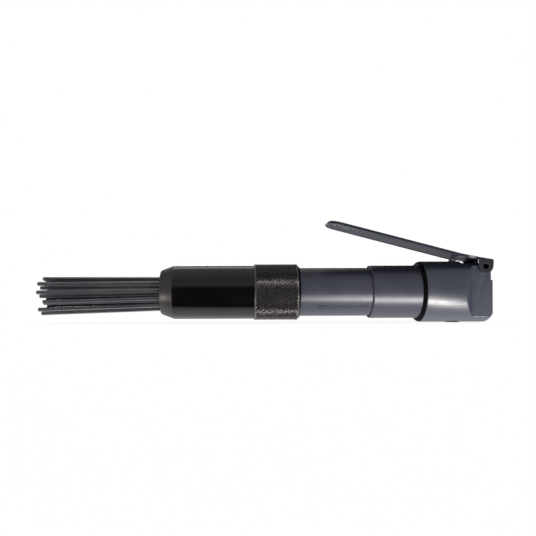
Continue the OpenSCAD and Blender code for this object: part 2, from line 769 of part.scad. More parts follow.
// Lever tray in its own frame: runs along -X from the bend, its top at height zero
module lever_tray(w, len, top, depth, fold_r, tip_r) {
    intersection() {
        rotate([0, -90, 0]) linear_extrude(len) lever_section(w, top, depth, fold_r);
        translate([0, 0, -depth - overrun]) linear_extrude(depth + 2 * overrun) {
            translate([-len + tip_r, -w / 2]) square([len, w]);
            translate([-len, -w / 2 + tip_r]) square([len, w - 2 * tip_r]);
            for (side = [-1, 1]) translate([-len + tip_r, side * (w / 2 - tip_r)]) circle(tip_r, $fn = 48);
        }
    }
}

// Lever's grip: a tray open below, whose underside rises at the tip
module lever_grip() {
    tip_z = -lever_depth * tip_edge_share;
    difference() {
        lever_tray(lever_w, lever_len, 0, lever_depth, lever_fold_r, lever_tip_r);
        lever_tray(lever_w - 2 * lever_t, lever_len - lever_t, -lever_t, lever_depth + overrun,
            lever_fold_r - lever_t, lever_tip_r - lever_t);
        translate([-fold_gap, -lever_w, -lever_depth - overrun])
            cube([fold_gap + overrun, 2 * lever_w, lever_depth + overrun - lever_fold_r]);
        translate([0, lever_w, 0]) rotate([90, 0, 0]) linear_extrude(2 * lever_w) polygon([
            [-lever_len - overrun, tip_z], [-lever_len, tip_z], [-lever_len + lever_tip_rise, -lever_depth],
            [-lever_len + lever_tip_rise, -lever_depth - overrun],
            [-lever_len - overrun, -lever_depth - overrun]]);
    }
}

// One ear of the lever, drawn in the plane of the hinge
module lever_ear() {
    plate_front_z = bend_z - (bend_x - ear_front) * tan(hinge_slope) - lever_t / 2;
    plate_rear_z = bend_z - (bend_x - ear_rear) * tan(hinge_slope) - lever_t / 2;
    rotate([90, 0, 0]) linear_extrude(lever_t, center = true) {
        translate([-pivot_x, pivot_z]) circle(ear_r);
        polygon([[-ear_front, pivot_z], [-ear_rear, pivot_z],
            [-ear_rear, plate_rear_z], [-ear_front, plate_front_z]]);
    }
}

// Throttle lever: pressed sheet with a grip, a hinge plate and two ears
module lever() {
    color([0.2, 0.21, 0.24]) difference() {
        union() {
            translate([-bend_x, 0, bend_z]) rotate([0, lever_slope, 0]) lever_grip();
            translate([-bend_x, -lever_w / 2, bend_z]) rotate([0, hinge_slope, 0])
                translate([-lever_t, 0, -lever_t]) cube([hinge_plate_len + lever_t, lever_w, lever_t]);
            for (side = [-1, 1]) translate([0, side * (lever_w - lever_t) / 2, 0]) lever_ear();
        }
        translate([-pivot_x, lever_w, pivot_z]) rotate([90, 0, 0])
            cylinder(d = pivot_d + 2 * run_fit, h = 2 * lever_w);
    }
}

// Pivot pin: held in the head, carries the lever's ears
module lever_pin() {
    pin_len = lever_w - 2 * pivot_recess;
    color([0.1, 0.1, 0.11]) translate([-pivot_x, pin_len / 2, pivot_z]) rotate([90, 0, 0])
        cylinder(d = pivot_d, h = pin_len);
}

head();
sleeve();
barrel();
collar();
front_tube();
head_gasket();
port_plate();
flapper_valve();
valve_cap();
piston();
anvil_bush();
anvil();
needle_holder();
needle_spring();
inlet_screen();
throttle_pin();
poppet_seal();
pin_seal();
valve_spring();
valve_plug();
plug_seal();
lever();
lever_pin();
for (i = [0 : needle_count - 1]) needle(i);
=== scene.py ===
# %% [markdown]
# # A needle scaler, dressed for its picture
# This tool knocks rust off steel: air drives a hammer, and the hammer drives a bundle of loose needles.
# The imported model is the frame. It gives every piece its size and place, in metres, with the air inlet
# at the origin, the needles towards -X and the lever towards +Z. This lesson only adds looks to it.

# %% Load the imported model
import json
import math

import bmesh
import bpy
from mathutils import Matrix, Vector

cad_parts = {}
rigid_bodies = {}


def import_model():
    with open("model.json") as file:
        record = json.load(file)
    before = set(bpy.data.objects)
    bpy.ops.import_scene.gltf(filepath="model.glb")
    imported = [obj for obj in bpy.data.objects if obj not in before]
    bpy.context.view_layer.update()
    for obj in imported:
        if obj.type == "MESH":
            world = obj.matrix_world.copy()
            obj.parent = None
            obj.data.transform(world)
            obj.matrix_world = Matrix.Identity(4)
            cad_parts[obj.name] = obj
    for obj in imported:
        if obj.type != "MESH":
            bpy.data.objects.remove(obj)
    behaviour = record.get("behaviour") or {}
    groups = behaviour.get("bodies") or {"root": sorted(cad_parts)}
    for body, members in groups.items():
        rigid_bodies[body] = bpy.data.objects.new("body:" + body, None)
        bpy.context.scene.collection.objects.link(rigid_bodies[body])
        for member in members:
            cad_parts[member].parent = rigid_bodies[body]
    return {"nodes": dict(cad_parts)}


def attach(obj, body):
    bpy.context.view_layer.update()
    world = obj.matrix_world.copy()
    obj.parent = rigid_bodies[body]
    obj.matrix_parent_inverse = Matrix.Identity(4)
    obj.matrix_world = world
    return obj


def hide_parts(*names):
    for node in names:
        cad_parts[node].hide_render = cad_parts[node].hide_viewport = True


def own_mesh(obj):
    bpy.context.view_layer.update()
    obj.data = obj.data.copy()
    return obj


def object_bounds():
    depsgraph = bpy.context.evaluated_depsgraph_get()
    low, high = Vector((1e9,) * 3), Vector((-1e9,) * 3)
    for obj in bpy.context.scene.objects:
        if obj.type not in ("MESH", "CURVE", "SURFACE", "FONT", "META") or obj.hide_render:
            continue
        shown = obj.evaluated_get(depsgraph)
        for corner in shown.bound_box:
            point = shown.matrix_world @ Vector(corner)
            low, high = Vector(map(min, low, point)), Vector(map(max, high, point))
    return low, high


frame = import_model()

cad_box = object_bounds()
scene = bpy.context.scene
mm = 0.001
print("nodes:", len(frame["nodes"]), "box:", [tuple(round(v, 4) for v in corner) for corner in cad_box])

# %% [markdown]
# ## Camera
# The photograph looks squarely at the tool's side. The rims of collar, sleeve and head bulge more towards
# the right, which shows how near the eye is and that it stands opposite the back of the front tube. The
# picture was then cropped off centre, which is the lens shift, and it leans a little.

# %% Camera
photo_px = 536
focal_px = 550
crop_right_px, crop_up_px = 28, 32
sensor_mm = 36
eye = Vector((-187.6, -421, -6)) * mm
lean = math.radians(0.17)
nearest = 10 * mm

camera_data = bpy.data.cameras.new("camera")
camera_data.sensor_width = sensor_mm
camera_data.lens = sensor_mm * focal_px / photo_px
camera_data.clip_start = nearest
camera_data.shift_x = crop_right_px / photo_px
camera_data.shift_y = crop_up_px / photo_px
camera = bpy.data.objects.new("camera", camera_data)
camera.location = eye
camera.rotation_euler = (math.pi / 2, lean, 0)
scene.collection.objects.link(camera)
scene.camera = camera
scene.view_settings.view_transform = "Standard"
print("lens:", round(camera_data.lens, 2), "mm")

# %% [markdown]
# ## Node helper
# Floor, world and metals are all node trees. This helper adds one node, sets its options, and gives each
# named input either a plain value or a link, so that a tree reads from top to bottom.

# %% Add a node to a tree
def add_node(tree, kind, inputs=None, **options):
    node = tree.nodes.new(kind)
    for name, value in options.items():
        setattr(node, name, value)
    for name, value in (inputs or {}).items():
        if isinstance(value, bpy.types.NodeSocket):
            tree.links.new(value, node.inputs[name])
        else:
            node.inputs[name].default_value = value
    return node


# %% [markdown]
# ## Floor
# The tool lies on a plain white sheet. A real sheet is lit until it is as white as the page, so the camera
# mostly sees plain white. A small share of true shading keeps the tool's soft shadow, and further out that
# share fades, so that sheet and page run into each other without a seam. A brighter lamp would whiten the
# sheet too, but it would also wash out the tool.

# %% Floor
floor_size = 3.0

bm = bmesh.new()
bmesh.ops.create_grid(bm, x_segments=1, y_segments=1, size=floor_size)
bmesh.ops.translate(bm, verts=bm.verts, vec=(0, 0, cad_box[0].z))
floor_mesh = bpy.data.meshes.new("floor")
bm.to_mesh(floor_mesh)
bm.free()
floor = bpy.data.objects.new("floor", floor_mesh)
scene.collection.objects.link(floor)
print("floor at", round(cad_box[0].z, 4), "m")


# %% Rays that look at the page, straight or through glass
def looking(tree):
    rays = add_node(tree, "ShaderNodeLightPath")
    straight, through = rays.outputs["Is Camera Ray"], rays.outputs["Is Transmission Ray"]
    return add_node(tree, "ShaderNodeMath", {0: straight, 1: through}, operation="MAXIMUM").outputs[0]


# %% White sheet
shadow_share = 0.1
shadow_near, shadow_far = 0.15, 0.55
paper_grey, white = (0.85, 0.85, 0.85, 1), (1, 1, 1, 1)
to_middle = -(cad_box[0] + cad_box[1]) / 2

white_sheet = bpy.data.materials.new("white_sheet")
white_sheet.use_nodes = True
tree = white_sheet.node_tree
tree.nodes.clear()
spot = add_node(tree, "ShaderNodeTexCoord")
middle = add_node(tree, "ShaderNodeVectorMath", {0: spot.outputs["Object"], 1: to_middle}, operation="ADD")
reach = add_node(tree, "ShaderNodeVectorMath", {0: middle.outputs[0]}, operation="LENGTH")
plain = add_node(tree, "ShaderNodeMapRange", {
    "Value": reach.outputs["Value"],
    "From Min": shadow_near,
    "From Max": shadow_far,
    "To Min": 1 - shadow_share,
    "To Max": 1.0,
})
seen = add_node(tree, "ShaderNodeMath", {0: looking(tree), 1: plain.outputs[0]}, operation="MULTIPLY")
paper = add_node(tree, "ShaderNodeBsdfDiffuse", {"Color": paper_grey})
page = add_node(tree, "ShaderNodeEmission", {"Color": white, "Strength": 1.0})
mixed = add_node(tree, "ShaderNodeMixShader", {0: seen.outputs[0], 1: paper.outputs[0], 2: page.outputs[0]})
add_node(tree, "ShaderNodeOutputMaterial", {"Surface": mixed.outputs[0]})
floor_mesh.materials.append(white_sheet)
print("shadow share:", shadow_share)

# %% [markdown]
# ## Studio
# Polished metal shows the room more than its own colour. This room is white low down, where the sheet
# shines back, and dark in front and behind, and a grey canopy overhead draws the bands on the black tube.
# The angle round the tool's axis runs from 0, straight behind, through a quarter, straight down, a half,
# the viewer, and three quarters, overhead, back to behind. A ramp for each half of the room gives every
# angle its brightness, and a third, softer one lights what is dull. A picture of a room would do as well,
# but these few steps can be moved one by one until each band lies where the photograph has it.

# %% Brightness of the room, by the angle round the tool's axis
front_room = [
    (0.0, 0.2), (0.05, 0.25), (0.1, 0.8), (0.25, 0.75), (0.29, 0.5), (0.32, 0.02),
    (0.55, 0.02), (0.58, 0.26), (0.69, 0.26), (0.72, 0.34), (0.93, 0.3), (1.0, 0.0),
]
rear_room = [
    (0.0, 0.2), (0.05, 0.25), (0.1, 0.85), (0.15, 0.85), (0.26, 0.7), (0.295, 0.5),
    (0.315, 0.02), (0.5, 0.04), (0.62, 0.2), (0.8, 0.3), (0.82, 0.0),
]
soft_room = [
    (0.0, 0.75), (0.15, 0.6), (0.25, 0.45), (0.31, 0.05), (0.5, 0.04), (0.76, 0.02), (0.8, 0.0),
]
print("room steps:", len(front_room), len(rear_room), len(soft_room))

# %% Angle round the tool's axis, as a share of a full turn
world = bpy.data.worlds.new("studio")
world.use_nodes = True
scene.world = world
tree = world.node_tree
tree.nodes.clear()
toward = add_node(tree, "ShaderNodeTexCoord")
parts = add_node(tree, "ShaderNodeSeparateXYZ", {0: toward.outputs["Generated"]})
viewer = add_node(tree, "ShaderNodeMath", {0: parts.outputs["Y"], 1: -1.0}, operation="MULTIPLY")
angle = add_node(tree, "ShaderNodeMath", {0: parts.outputs["Z"], 1: viewer.outputs[0]}, operation="ARCTAN2")
share = add_node(tree, "ShaderNodeMapRange", {
    "Value": angle.outputs[0],
    "From Min": -math.pi,
    "From Max": math.pi,
})
print("world:", world.name)

# %% Ramp for one part of the room
green_share = 0.98


def room_ramp(steps):
    ramp = add_node(tree, "ShaderNodeValToRGB", {"Fac": share.outputs[0]})
    while len(ramp.color_ramp.elements) < len(steps):
        ramp.color_ramp.elements.new(1.0)
    for stop, (position, level) in zip(ramp.color_ramp.elements, steps):
        stop.position = position
        stop.color = (level, level * green_share, level, 1)
    return ramp.outputs[0]


# %% Join the two halves, the soft room and the page
halves_meet = (0.06, 0.14)

half = add_node(tree, "ShaderNodeMapRange", {
    "Value": parts.outputs["X"],
    "From Min": halves_meet[0],
    "From Max": halves_meet[1],
})
both = add_node(tree, "ShaderNodeMix", {
    0: half.outputs[0],
    6: room_ramp(front_room),
    7: room_ramp(rear_room),
}, data_type="RGBA")
rays = add_node(tree, "ShaderNodeLightPath")
whole = add_node(tree, "ShaderNodeMix", {
    0: rays.outputs["Is Diffuse Ray"],
    6: both.outputs[2],
    7: room_ramp(soft_room),
}, data_type="RGBA")
room = add_node(tree, "ShaderNodeBackground", {"Color": whole.outputs[2]})
page = add_node(tree, "ShaderNodeBackground", {"Color": white})
mixed = add_node(tree, "ShaderNodeMixShader", {0: looking(tree), 1: room.outputs[0], 2: page.outputs[0]})
add_node(tree, "ShaderNodeOutputWorld", {"Surface": mixed.outputs[0]})
print("world nodes:", len(tree.nodes))

# %% [markdown]
# ## Lamps
# Two long, narrow soft lamps stand low in front, one for the head and one for the nose. They light the tool
# from below, so the tops go dark, and draw the bright line along head, sleeve and barrel. A weak fill lamp in
# front lifts what is dull and is hidden from mirrors, so that it draws no line of its own. Two more stand
# behind for the other sides, and the last one lights only the sheet.

# %% A soft, rectangular lamp
def soft_lamp(name, place, aim, size, power):
    lamp_data = bpy.data.lights.new(name, "AREA")
    lamp_data.shape = "RECTANGLE"
    lamp_data.size, lamp_data.size_y = size
    lamp_data.energy = power
    lamp = bpy.data.objects.new(name, lamp_data)
    lamp.location = place
    lamp.rotation_euler = (Vector(aim) - Vector(place)).to_track_quat("-Z", "Y").to_euler()
    scene.collection.objects.link(lamp)
    return lamp


# %% Lamps
sleeve_middle, tool_middle, nose_middle = (-0.06, 0, 0), (-0.15, 0, 0), (-0.24, 0, 0)
warm = (1.0, 0.93, 0.87)

key = soft_lamp("key_lamp", (0.16, -0.5, -0.39), sleeve_middle, size=(0.4, 0.09), power=4)
nose = soft_lamp("nose_lamp", (-0.75, -0.42, -0.26), nose_middle, size=(0.3, 0.08), power=1.2)
key.data.color = warm
nose.data.color = warm
fill = soft_lamp("fill_lamp", (-0.15, -0.9, 0.05), tool_middle, size=(1.2, 0.3), power=0.55)
fill.visible_glossy = False
top = soft_lamp("top_lamp", (-0.15, 0.7, 0.8), tool_middle, size=(0.8, 0.4), power=0.6)
back = soft_lamp("back_lamp", (-0.15, 0.9, 0.08), tool_middle, size=(1.0, 0.2), power=5)
table = soft_lamp("table_lamp", (-0.15, -0.1, 1.2), tool_middle, size=(1.6, 1.6), power=26)
print("lamps:", [lamp.name for lamp in (key, nose, fill, top, back, table)])

# %% [markdown]
# ## Surface effects
# Blasted grain, handling smudges, tool marks, worn edges, chips, and groove dirt with painted shade each get
# a node group that is built once, because most of them turn up on several metals. Every group reads the
# piece's own coordinates, in metres, and puts out one mask from 0 to 1. What a mask does to colour, roughness
# or bump is up to each material. Painted pictures could do the same, but noise in a piece's own space needs
# no unwrapping and has no seams.

# %% Start a group with one named value and one mask
def start_group(name, mask, value, given="Scale"):
    group = bpy.data.node_groups.new(name, "ShaderNodeTree")
    group.interface.new_socket(given, in_out="INPUT", socket_type="NodeSocketFloat").default_value = value
    group.interface.new_socket(mask, in_out="OUTPUT", socket_type="NodeSocketFloat")
    source = group.nodes.new("NodeGroupInput")
    result = group.nodes.new("NodeGroupOutput")
    place = group.nodes.new("ShaderNodeTexCoord")
    return group, source.outputs[given], place.outputs["Object"], result.inputs[mask]


def noise_of(group, place, scale, **settings):
    inputs = {"Vector": place, "Scale": scale, **settings}
    return add_node(group, "ShaderNodeTexNoise", inputs).outputs[0]


def stretch(group, value, low, high):
    spread = add_node(group, "ShaderNodeMapRange", {"Value": value, "From Min": low, "From Max": high})
    return spread.outputs[0]


# %% Blasted grain and handling smudges
grain_group, scale, place, mask = start_group("blasted_grain", "Grain", 1400)
noise = noise_of(grain_group, place, scale, Detail=2.0, Roughness=0.6)
grain_group.links.new(stretch(grain_group, noise, low=0.3, high=0.7), mask)

smudge_group, scale, place, mask = start_group("handling_smudges", "Smudge", 45)
noise = noise_of(smudge_group, place, scale, Detail=5.0, Distortion=0.4)
smudge_group.links.new(stretch(smudge_group, noise, low=0.35, high=0.68), mask)
print("groups:", grain_group.name, smudge_group.name)

# %% Lines left round the axis by the lathe and along it by the drawing die
round_axis, along_axis = (1, 0.01, 0.01), (0.012, 1, 1)

lathe_group, scale, place, mask = start_group("lathe_lines", "Lines", 2200)
drawn_out = add_node(lathe_group, "ShaderNodeMapping", {"Vector": place, "Scale": round_axis})
noise = noise_of(lathe_group, drawn_out.outputs[0], scale, Detail=3.0)
lathe_group.links.new(stretch(lathe_group, noise, low=0.3, high=0.7), mask)

drawn_group, scale, place, mask = start_group("drawing_lines", "Lines", 1800)
drawn_out = add_node(drawn_group, "ShaderNodeMapping", {"Vector": place, "Scale": along_axis})
noise = noise_of(drawn_group, drawn_out.outputs[0], scale, Detail=2.0)
drawn_group.links.new(stretch(drawn_group, noise, low=0.3, high=0.7), mask)
print("groups:", lathe_group.name, drawn_group.name)

# %% Edges worn bright, broken up by noise
wear_reach, wear_scale = 0.35 * mm, 260

wear_group, scale, place, mask = start_group("worn_edges", "Wear", wear_scale)
surface = add_node(wear_group, "ShaderNodeNewGeometry")
rounded = add_node(wear_group, "ShaderNodeBevel", {"Radius": wear_reach}, samples=4)
normals = {0: surface.outputs["Normal"], 1: rounded.outputs[0]}
same = add_node(wear_group, "ShaderNodeVectorMath", normals, operation="DOT_PRODUCT")
bent = add_node(wear_group, "ShaderNodeMath", {0: 1.0, 1: same.outputs["Value"]}, operation="SUBTRACT")
edge = stretch(wear_group, bent.outputs[0], low=0.02, high=0.2)
patches = stretch(wear_group, noise_of(wear_group, place, scale, Detail=4.0), low=0.45, high=0.62)
worn = add_node(wear_group, "ShaderNodeMath", {0: edge, 1: patches}, operation="MULTIPLY")
wear_group.links.new(worn.outputs[0], mask)
print("group:", wear_group.name)

# %% Zone along the axis, from one place to another
zone_group, begin, place, mask = start_group("axis_zone", "Zone", 0, given="Begin")
zone_group.interface.new_socket("Full", in_out="INPUT", socket_type="NodeSocketFloat")
full = begin.node.outputs["Full"]
axis = add_node(zone_group, "ShaderNodeSeparateXYZ", {0: place})
zone_group.links.new(stretch(zone_group, axis.outputs["X"], low=begin, high=full), mask)
print("group:", zone_group.name)

# %% Specks where the finish has chipped, on what faces up
chip_scale = 520

chip_group, scale, place, mask = start_group("chipped_specks", "Chips", chip_scale)
specks = stretch(chip_group, noise_of(chip_group, place, scale, Detail=1.0), low=0.66, high=0.73)
surface = add_node(chip_group, "ShaderNodeNewGeometry")
facing = add_node(chip_group, "ShaderNodeSeparateXYZ", {0: surface.outputs["Normal"]})
upward = stretch(chip_group, facing.outputs["Z"], low=0.1, high=0.4)
chipped = add_node(chip_group, "ShaderNodeMath", {0: specks, 1: upward}, operation="MULTIPLY")
chip_group.links.new(chipped.outputs[0], mask)
print("group:", chip_group.name)

# %% Groove dirt and painted shade round the tool's axis: darker below one radius
dirt_and_shade_fade = 0.25 * mm

dirt_and_shade_group, begin, place, mask = start_group("groove_dirt_and_shade", "Dirt and shade", 0, given="Radius")
axis = add_node(dirt_and_shade_group, "ShaderNodeSeparateXYZ", {0: place})
end_on = add_node(dirt_and_shade_group, "ShaderNodeCombineXYZ", {"Y": axis.outputs["Y"], "Z": axis.outputs["Z"]})
radius = add_node(dirt_and_shade_group, "ShaderNodeVectorMath", {0: end_on.outputs[0]}, operation="LENGTH")
depth = add_node(dirt_and_shade_group, "ShaderNodeMath", {0: begin, 1: radius.outputs["Value"]}, operation="SUBTRACT")
dirt_and_shade_group.links.new(stretch(dirt_and_shade_group, depth.outputs[0], low=0.0, high=dirt_and_shade_fade), mask)
print("group:", dirt_and_shade_group.name)

# %% [markdown]
# ## Metals
# Head, lever, sleeve and barrel are satin gunmetal, a dark blue grey with a soft bright line. The front
# tube is blackened and oiled until it mirrors, its nose is rubbed dull, the collar is blackened over its
# knurl with dirt and painted shade in its grooves, and the needles are drawn steel, the rear ones darker as a
# painted shade. One recipe makes them all: smudges vary the tone and gloss, a fine pattern roughens the
# surface, and edges wear through to a paler metal. Some metals add a darker zone, chips, or groove dirt with
# painted shade. One recipe also keeps the finishes alike where the real ones are alike.

# %% Masks and colours in a material
def mask_of(tree, group, value):
    node = add_node(tree, "ShaderNodeGroup", node_tree=group)
    node.inputs[0].default_value = value
    return node.outputs[0]


def zone_of(tree, begin, full):
    inside = mask_of(tree, zone_group, begin)
    inside.node.inputs["Full"].default_value = full
    return inside


def blend_colours(tree, share, first, second):
    inputs = {0: share}
    for socket, colour in ((6, first), (7, second)):
        inputs[socket] = colour if isinstance(colour, bpy.types.NodeSocket) else (*colour, 1)
    return add_node(tree, "ShaderNodeMix", inputs, data_type="RGBA").outputs[2]


# %% Recipe for a metal
even_share, bump_strength = 0.5, 0.5
chipped_steel = (0.3, 0.3, 0.31)


def metal(name, dark, light, worn, metallic, gloss, pattern, scale, depth,
          smudge_scale=45, ior=1.5, zone=None, chips=None, dirt_and_shade=None):
    material = bpy.data.materials.new(name)
    material.use_nodes = True
    tree = material.node_tree
    shader = tree.nodes["Principled BSDF"]
    shader.inputs["Metallic"].default_value = metallic
    shader.inputs["IOR"].default_value = ior
    smudge = mask_of(tree, smudge_group, smudge_scale)
    fine = mask_of(tree, pattern, scale)
    tone = blend_colours(tree, smudge, dark, light)
    if zone:
        begin, full, colour = zone
        tone = blend_colours(tree, zone_of(tree, begin, full), tone, colour)
    tone = blend_colours(tree, mask_of(tree, wear_group, wear_scale), tone, worn)
    if chips:
        masks = {0: mask_of(tree, chip_group, chip_scale), 1: zone_of(tree, *chips)}
        specks = add_node(tree, "ShaderNodeMath", masks, operation="MULTIPLY")
        tone = blend_colours(tree, specks.outputs[0], tone, chipped_steel)
    # Dirt and painted shade: darker in grooves below a radius
    if dirt_and_shade:
        radius, colour = dirt_and_shade
        tone = blend_colours(tree, mask_of(tree, dirt_and_shade_group, radius), tone, colour)
    tree.links.new(tone, shader.inputs["Base Color"])
    uneven = add_node(tree, "ShaderNodeMix", {0: even_share, 2: smudge, 3: fine}).outputs[0]
    rough = add_node(tree, "ShaderNodeMapRange", {"Value": uneven, "To Min": gloss[0], "To Max": gloss[1]})
    tree.links.new(rough.outputs[0], shader.inputs["Roughness"])
    bump = add_node(tree, "ShaderNodeBump", {"Height": fine, "Strength": bump_strength, "Distance": depth})
    tree.links.new(bump.outputs[0], shader.inputs["Normal"])
    return material


# %% Satin gunmetal: blasted on the head, turned on the barrel, pressed on the lever, whose ears are darker
# The lever turns to a darker tone at its ears
bare_steel, darker_ear_tone = (0.5, 0.5, 0.52), (0.042, 0.046, 0.058)

gunmetal = metal(
    "satin_gunmetal", dark=(0.07, 0.085, 0.128), light=(0.086, 0.102, 0.148), worn=bare_steel,
    metallic=0.15, gloss=(0.32, 0.44), pattern=grain_group, scale=900, depth=0.06 * mm, ior=2.1)
turned_gunmetal = metal(
    "turned_gunmetal", dark=(0.075, 0.085, 0.124), light=(0.09, 0.101, 0.142), worn=bare_steel,
    metallic=0.15, gloss=(0.35, 0.41), pattern=lathe_group, scale=2200, depth=0.00008 * mm, ior=1.7)
lever_gunmetal = metal(
    "lever_gunmetal", dark=(0.04, 0.051, 0.079), light=(0.05, 0.063, 0.094), worn=(0.13, 0.135, 0.15),
    metallic=0.15, gloss=(0.34, 0.46), pattern=grain_group, scale=900, depth=0.015 * mm,
    zone=(-15 * mm, -11 * mm, darker_ear_tone), chips=(-85 * mm, -20 * mm))
print("metals:", gunmetal.name, turned_gunmetal.name, lever_gunmetal.name)

# %% Black finishes: the oiled tube, its dull nose, a dull black for the pivot pin and for painted shade, the knurl and blackened steel
# The second colour is near black for the knurl's grooves, partly dirt and partly painted shade
rubbed_black, groove_dirt_and_shade_black = (0.12, 0.12, 0.125), (0.004, 0.004, 0.005)

oiled_black = metal(
    "oiled_black", dark=(0.0025, 0.002, 0.003), light=(0.005, 0.004, 0.005), worn=rubbed_black,
    metallic=0.0, gloss=(0.06, 0.13), pattern=lathe_group, scale=1500, depth=0.0006 * mm, ior=1.7)
nose_black = metal(
    "worn_nose_black", dark=(0.05, 0.047, 0.05), light=(0.062, 0.058, 0.062), worn=rubbed_black,
    metallic=0.15, gloss=(0.34, 0.42), pattern=lathe_group, scale=1500, depth=0.0006 * mm, ior=1.7)
# Dull near black: the pivot pin's own finish, and painted shade on the head's front edge at the sleeve
dull_black_and_painted_shade = metal(
    "dull_black_and_painted_shade", dark=(0.003, 0.003, 0.004), light=(0.006, 0.006, 0.007), worn=(0.01, 0.01, 0.011),
    metallic=0.0, gloss=(0.55, 0.7), pattern=grain_group, scale=1800, depth=0.004 * mm, ior=1.2)
# The knurl's grooves turn near black below 21 mm: dirt and painted shade
black_knurl = metal(
    "black_knurl", dark=(0.22, 0.21, 0.222), light=(0.25, 0.24, 0.25), worn=(0.25, 0.24, 0.25),
    metallic=0.85, gloss=(0.25, 0.34), pattern=grain_group, scale=1800, depth=0.002 * mm,
    dirt_and_shade=(21.0 * mm, groove_dirt_and_shade_black))
black_steel = metal(
    "blackened_steel", dark=(0.05, 0.052, 0.062), light=(0.065, 0.067, 0.078), worn=(0.3, 0.3, 0.3),
    metallic=0.3, gloss=(0.3, 0.42), pattern=grain_group, scale=1800, depth=0.004 * mm)
print("metals:", [finish.name for finish in (oiled_black, nose_black, dull_black_and_painted_shade, black_knurl, black_steel)])

# %% Drawn needle steel, plain and darker for painted shade on the rear needles
needle_steel = metal(
    "drawn_needle_steel", dark=(0.3, 0.3, 0.33), light=(0.38, 0.375, 0.4), worn=(0.5, 0.49, 0.5),
    metallic=0.85, gloss=(0.16, 0.25), pattern=drawn_group, scale=1800, depth=0.003 * mm, smudge_scale=25)
# Painted shade: a darker steel for the needles at the back of the bundle, in place of the shade between them
painted_shade_needle_steel = metal(
    "painted_shade_needle_steel", dark=(0.1, 0.1, 0.112), light=(0.14, 0.138, 0.15), worn=(0.3, 0.295, 0.3),
    metallic=0.85, gloss=(0.16, 0.25), pattern=drawn_group, scale=1800, depth=0.003 * mm, smudge_scale=25)
print("metals:", needle_steel.name, painted_shade_needle_steel.name)

# %% Ground steel and bronze
bright_steel = metal(
    "ground_steel", dark=(0.52, 0.51, 0.5), light=(0.62, 0.61, 0.6), worn=(0.75, 0.74, 0.73),
    metallic=0.7, gloss=(0.16, 0.3), pattern=lathe_group, scale=3000, depth=0.002 * mm)
# Painted light: a paler, less metallic steel than the ground steel, so the throttle pin reads lit where the
# head shades it
painted_light_pin_steel = metal(
    "painted_light_pin_steel", dark=(0.62, 0.6, 0.59), light=(0.74, 0.72, 0.7), worn=(0.8, 0.79, 0.78),
    metallic=0.3, gloss=(0.25, 0.35), pattern=lathe_group, scale=3000, depth=0.002 * mm)
bronze = metal(
    "bearing_bronze", dark=(0.34, 0.2, 0.085), light=(0.44, 0.28, 0.13), worn=(0.6, 0.44, 0.24),
    metallic=0.9, gloss=(0.26, 0.42), pattern=lathe_group, scale=2400, depth=0.003 * mm)
print("metals:", bright_steel.name, painted_light_pin_steel.name, bronze.name)

# %% Rubber rings and the fibre gasket, by the same recipe
rubber = metal(
    "black_rubber", dark=(0.012, 0.012, 0.012), light=(0.022, 0.022, 0.022), worn=(0.05, 0.05, 0.05),
    metallic=0.0, gloss=(0.5, 0.7), pattern=grain_group, scale=2600, depth=0.01 * mm)
fibre = metal(
    "gasket_fibre", dark=(0.16, 0.085, 0.045), light=(0.24, 0.14, 0.08), worn=(0.3, 0.2, 0.12),
    metallic=0.0, gloss=(0.8, 0.95), pattern=grain_group, scale=3200, depth=0.02 * mm)
print("other finishes:", rubber.name, fibre.name)

# %% [markdown]
# ## Turning and finishing helpers
# Nearly every piece was turned on a lathe, so a half section is spun about the tool's axis. Stations are
# millimetres forward of the air inlet, as in the drawing, so they run towards -X. The finishing helper
# smooths the shading, rounds sharp edges a little so that they catch the light, and ties the piece to its
# body. The last helper gives the front of a piece another finish, where the real one changes at an edge or
# where a painted shade darkens it.

# %% Spin a half section about the tool's axis
tool_axis, origin = (1, 0, 0), (0, 0, 0)
weld = 0.001 * mm


def turned(section, steps):
    bm = bmesh.new()
    points = [bm.verts.new((-station * mm, 0, radius * mm)) for station, radius in section]
    lines = [bm.edges.new(pair) for pair in zip(points, points[1:] + points[:1])]
    bmesh.ops.spin(bm, geom=points + lines, cent=origin, axis=tool_axis, angle=math.tau, steps=steps,
                   use_merge=True)
    bmesh.ops.remove_doubles(bm, verts=bm.verts, dist=weld)
    bmesh.ops.recalc_face_normals(bm, faces=bm.faces)
    return bm


# %% Start from a CAD node: weld its loose triangles and join those that lie in one plane
one_plane = math.radians(0.4)


def welded(node):
    bm = bmesh.new()
    bm.from_mesh(frame["nodes"][node].data)
    bmesh.ops.remove_doubles(bm, verts=bm.verts, dist=weld)
    bmesh.ops.dissolve_limit(bm, angle_limit=one_plane, verts=bm.verts, edges=bm.edges)
    return bm


# %% Make a bmesh into a finished piece
sharp_angle = math.radians(32)


def finish_piece(bm, name, finish, slot, body, *nodes, edge=0, smooth=True):
    mesh = bpy.data.meshes.new(name)
    bm.to_mesh(mesh)
    bm.free()
    if smooth:
        mesh.shade_smooth()
        mesh.set_sharp_from_angle(angle=sharp_angle)
    mesh.materials.append(finish)
    piece = bpy.data.objects.new(name, mesh)
    scene.collection.objects.link(piece)
    if edge:
        softened = piece.modifiers.new("softened_edges", "BEVEL")
        softened.width = edge
        softened.segments = 2
        softened.limit_method = "ANGLE"
        softened.angle_limit = sharp_angle
        softened.use_clamp_overlap = False
        softened.harden_normals = True
    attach(piece, body)
    if nodes:
        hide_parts(*nodes)
    print(name, "faces:", len(mesh.polygons))
    return piece


# %% Give what lies forward of a station a second finish
def second_finish(piece, finish, station):
    piece.data.materials.append(finish)
    forward = [face for face in piece.data.polygons if face.center.x < -station * mm]
    for face in forward:
        face.material_index = 1
    print(piece.name, "faces in", finish.name, len(forward))


